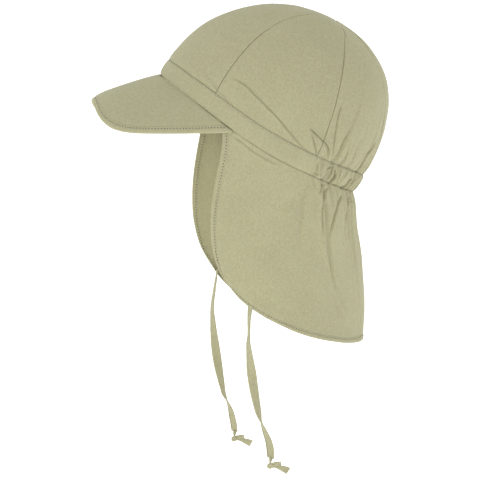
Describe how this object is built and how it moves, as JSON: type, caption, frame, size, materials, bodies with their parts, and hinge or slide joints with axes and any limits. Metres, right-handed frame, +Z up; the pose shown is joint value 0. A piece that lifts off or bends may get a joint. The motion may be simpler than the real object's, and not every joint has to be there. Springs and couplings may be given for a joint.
{
  "type": "legionnaire cap",
  "caption": "Soft cotton child's cap with a panelled dome, a short arched peak, a headband gathered at the back, a long hanging neck flap and knotted tape ties.",
  "frame": {"origin": "middle of the head opening, at the level of the headband's lower edge, where the cap sits on a head", "axes": "+Z up, the flap and ties hang along -Z; -Y is the wearer's front, where the peak points; +X is the wearer's left"},
  "size_m": [0.1437, 0.2378, 0.3841],
  "materials": {
    "cotton_cloth": "matt plain-weave cotton"
  },
  "bodies": {
    "root": {"crown_front_panel": "cotton_cloth", "crown_side_panel_left": "cotton_cloth", "crown_side_panel_right": "cotton_cloth", "crown_back_panel_left": "cotton_cloth", "crown_back_panel_right": "cotton_cloth", "headband": "cotton_cloth", "peak": "cotton_cloth", "neck_flap": "cotton_cloth", "tie_left": "cotton_cloth", "tie_right": "cotton_cloth", "tie_knot_left": "cotton_cloth", "tie_knot_right": "cotton_cloth"}
  },
  "joints": []
}
